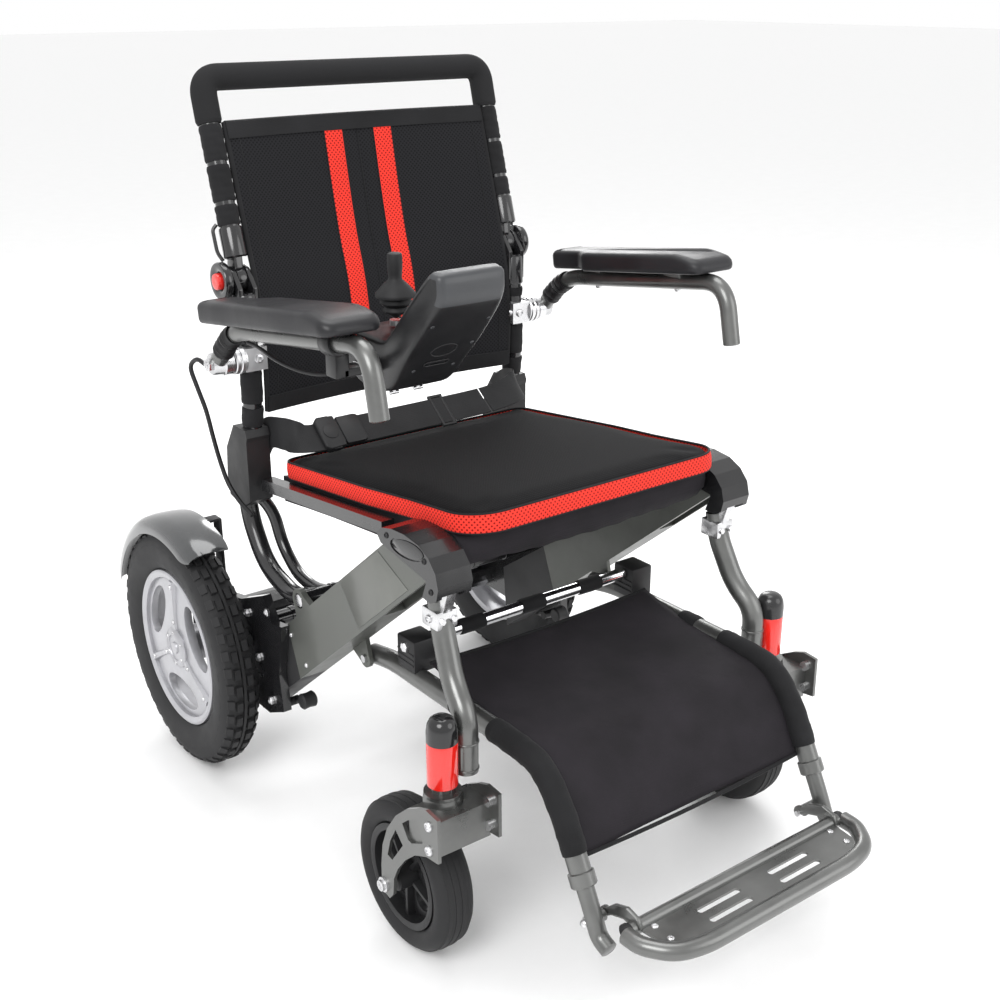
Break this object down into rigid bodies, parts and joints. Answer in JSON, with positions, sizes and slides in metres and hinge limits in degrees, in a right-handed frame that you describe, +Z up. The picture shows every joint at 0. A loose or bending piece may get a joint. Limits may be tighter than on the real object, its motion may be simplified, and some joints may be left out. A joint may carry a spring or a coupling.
{
  "type": "power wheelchair",
  "caption": "Folding power wheelchair with joystick armrest control, swivelling front casters, box side beams, mesh seat and back, and a flip-up footplate on a telescoping legrest.",
  "frame": {"origin": "on the floor, under the middle of the chair's bounding box", "axes": "+Z up, -Y the way the rider faces, +X to the rider's left"},
  "size_m": [0.6236, 1.0689, 0.9649],
  "materials": {
    "gunmetal": "satin metallic grey paint",
    "black_tube": "gloss black paint",
    "fender": "dark metallic gloss",
    "black_plastic": "fine textured",
    "black_gloss": "semi-gloss moulded",
    "wheel_silver": "satin silver paint",
    "silver": "machined",
    "tyre": "black rubber",
    "red_gloss": "gloss red",
    "foam": "closed-cell foam",
    "arm_skin": "moulded polyurethane skin",
    "mesh_black": "spacer mesh",
    "black_cloth": "woven polyester",
    "rail_black": "satin black",
    "cable": "black jacket",
    "chrome": "polished",
    "mesh_red": "red spacer mesh"
  },
  "bodies": {
    "chassis": {"beam_R": "gunmetal", "beam_L": "gunmetal", "pivot_cover_R": "black_gloss", "pivot_cover_L": "black_gloss", "drive_unit_R": "black_tube", "drive_unit_L": "black_tube", "fender_R": "fender", "fender_L": "fender", "rear_cross_tube": "black_tube"},
    "back_lower": {"back_tube_R": "black_tube", "back_tube_L": "black_tube", "back_joint_R": "black_plastic", "back_joint_L": "black_plastic", "back_pivot_tube": "gunmetal", "arm_clamp_R": "silver", "arm_clamp_L": "silver", "back_panel_lower": "mesh_black", "controller_cable": "cable"},
    "seat": {"seat_rail_R": "rail_black", "seat_rail_L": "rail_black", "seat_base": "black_cloth", "seat_cushion": "mesh_black", "belt_strap": "black_cloth", "belt_buckle": "black_plastic"},
    "back_upper": {"handle_tube": "black_tube", "handle_foam": "foam", "back_panel_upper": "mesh_black"},
    "legrest": {"legrest_frame": "gunmetal", "calf_sheet": "black_cloth"},
    "lower_legs": {"lower_leg_R": "gunmetal", "lower_leg_L": "gunmetal"},
    "footrest": {"footplate": "gunmetal"},
    "controller": {"controller_shell": "black_gloss"},
    "power_button": {"power_key": "silver"},
    "gimbal": {"joystick_gimbal": "silver"},
    "stick": {"joystick": "black_plastic"},
    "battery_R": {"battery_R": "black_plastic"},
    "freewheel_R": {"freewheel_lever_R": "black_plastic"},
    "rear_wheel_R": {"rear_rim_R": "wheel_silver", "rear_tyre_R": "tyre"},
    "leg_R": {"front_leg_R": "gunmetal", "caster_housing_R": "red_gloss"},
    "caster_R": {"caster_fork_R": "gunmetal"},
    "caster_wheel_R": {"caster_rim_R": "black_plastic", "caster_tyre_R": "tyre"},
    "button_R": {"hinge_button_R": "red_gloss"},
    "arm_R": {"arm_tube_R": "gunmetal", "arm_pad_R": "arm_skin"},
    "battery_L": {"battery_L": "black_plastic"},
    "freewheel_L": {"freewheel_lever_L": "black_plastic"},
    "rear_wheel_L": {"rear_rim_L": "wheel_silver", "rear_tyre_L": "tyre"},
    "leg_L": {"front_leg_L": "gunmetal", "caster_housing_L": "red_gloss"},
    "caster_L": {"caster_fork_L": "gunmetal"},
    "caster_wheel_L": {"caster_rim_L": "black_plastic", "caster_tyre_L": "tyre"},
    "button_L": {"hinge_button_L": "red_gloss"},
    "arm_L": {"arm_tube_L": "gunmetal", "arm_pad_L": "arm_skin"}
  },
  "joints": [
    {"name": "frame_fold", "type": "hinge", "parent": "chassis", "child": "leg_R", "pos_m": [-0.2155, -0.2035, 0.453], "axis": [1, 0, 0], "range_deg": [0, 33]},
    {"name": "leg_fold_L", "type": "hinge", "parent": "chassis", "child": "leg_L", "pos_m": [0.2155, -0.2035, 0.453], "axis": [1, 0, 0], "range_deg": [0, 33]},
    {"name": "back_fold", "type": "hinge", "parent": "chassis", "child": "back_lower", "pos_m": [0, 0.0975, 0.322], "axis": [1, 0, 0], "range_deg": [0, 16]},
    {"name": "seat_fold", "type": "hinge", "parent": "back_lower", "child": "seat", "pos_m": [0, 0.2173, 0.44], "axis": [1, 0, 0], "range_deg": [-18.4, 0]},
    {"name": "legrest_fold", "type": "hinge", "parent": "chassis", "child": "legrest", "pos_m": [0, -0.0045, 0.272], "axis": [1, 0, 0], "range_deg": [-16.5, 0]},
    {"name": "back_hinge", "type": "hinge", "parent": "back_lower", "child": "back_upper", "pos_m": [0, 0.2515, 0.708], "axis": [1, 0, 0], "range_deg": [-110, 0]},
    {"name": "footrest_length", "type": "slide", "parent": "legrest", "child": "lower_legs", "axis": [0, -0.4709, -0.8822], "range_m": [0, 0.035]},
    {"name": "footplate_flip", "type": "hinge", "parent": "lower_legs", "child": "footrest", "pos_m": [0, -0.4145, 0.1215], "axis": [1, 0, 0], "range_deg": [-60, 0]},
    {"name": "controller_reach", "type": "slide", "parent": "arm_R", "child": "controller", "axis": [0, 0.9902, -0.1397], "range_m": [0, 0.08]},
    {"name": "power_press", "type": "slide", "parent": "controller", "child": "power_button", "axis": [0, -0.721, -0.693], "range_m": [0, 0.0012], "stiffness_N_per_m": 400, "springref_m": -0.001},
    {"name": "joystick_fore_aft", "type": "hinge", "parent": "controller", "child": "gimbal", "pos_m": [-0.168, -0.0475, 0.703], "axis": [1, 0, 0], "range_deg": [-15, 15], "stiffness_Nm_per_rad": 0.3},
    {"name": "joystick_left_right", "type": "hinge", "parent": "gimbal", "child": "stick", "pos_m": [-0.168, -0.0475, 0.703], "axis": [0, 1, 0], "range_deg": [-15, 15], "stiffness_Nm_per_rad": 0.3},
    {"name": "battery_out_R", "type": "slide", "parent": "chassis", "child": "battery_R", "axis": [0, 0.7714, -0.6363], "range_m": [0, 0.15]},
    {"name": "freewheel_R", "type": "hinge", "parent": "chassis", "child": "freewheel_R", "pos_m": [-0.225, 0.1535, 0.148], "axis": [1, 0, 0], "range_deg": [0, 60]},
    {"name": "rear_spin_R", "type": "hinge", "parent": "chassis", "child": "rear_wheel_R", "pos_m": [-0.281, 0.3475, 0.174], "axis": [1, 0, 0], "continuous": true},
    {"name": "caster_swivel_R", "type": "hinge", "parent": "leg_R", "child": "caster_R", "pos_m": [-0.2583, -0.2555, 0.236], "axis": [0, 0, 1], "continuous": true},
    {"name": "caster_spin_R", "type": "hinge", "parent": "caster_R", "child": "caster_wheel_R", "pos_m": [-0.2583, -0.1955, 0.093], "axis": [1, 0, 0], "continuous": true},
    {"name": "button_press_R", "type": "slide", "parent": "back_lower", "child": "button_R", "axis": [1, 0, 0], "range_m": [0, 0.004], "stiffness_N_per_m": 300, "springref_m": -0.001},
    {"name": "arm_flip_R", "type": "hinge", "parent": "back_lower", "child": "arm_R", "pos_m": [-0.262, 0.2235, 0.612], "axis": [1, 0, 0], "range_deg": [-75, 0]},
    {"name": "battery_out_L", "type": "slide", "parent": "chassis", "child": "battery_L", "axis": [0, 0.7714, -0.6363], "range_m": [0, 0.15]},
    {"name": "freewheel_L", "type": "hinge", "parent": "chassis", "child": "freewheel_L", "pos_m": [0.225, 0.1535, 0.148], "axis": [1, 0, 0], "range_deg": [0, 60]},
    {"name": "rear_spin_L", "type": "hinge", "parent": "chassis", "child": "rear_wheel_L", "pos_m": [0.281, 0.3475, 0.174], "axis": [1, 0, 0], "continuous": true},
    {"name": "caster_swivel_L", "type": "hinge", "parent": "leg_L", "child": "caster_L", "pos_m": [0.2583, -0.2555, 0.236], "axis": [0, 0, 1], "continuous": true},
    {"name": "caster_spin_L", "type": "hinge", "parent": "caster_L", "child": "caster_wheel_L", "pos_m": [0.2583, -0.1955, 0.093], "axis": [1, 0, 0], "continuous": true},
    {"name": "button_press_L", "type": "slide", "parent": "back_lower", "child": "button_L", "axis": [-1, 0, 0], "range_m": [0, 0.004], "stiffness_N_per_m": 300, "springref_m": -0.001},
    {"name": "arm_flip_L", "type": "hinge", "parent": "back_lower", "child": "arm_L", "pos_m": [0.262, 0.2235, 0.612], "axis": [1, 0, 0], "range_deg": [-90, 0]}
  ],
  "couplings": [
    {"joint": "leg_fold_L", "follows": "frame_fold", "ratio": 1},
    {"joint": "back_fold", "follows": "frame_fold", "ratio": 0.4824},
    {"joint": "seat_fold", "follows": "frame_fold", "ratio": -0.5568},
    {"joint": "legrest_fold", "follows": "frame_fold", "ratio": -0.5}
  ]
}
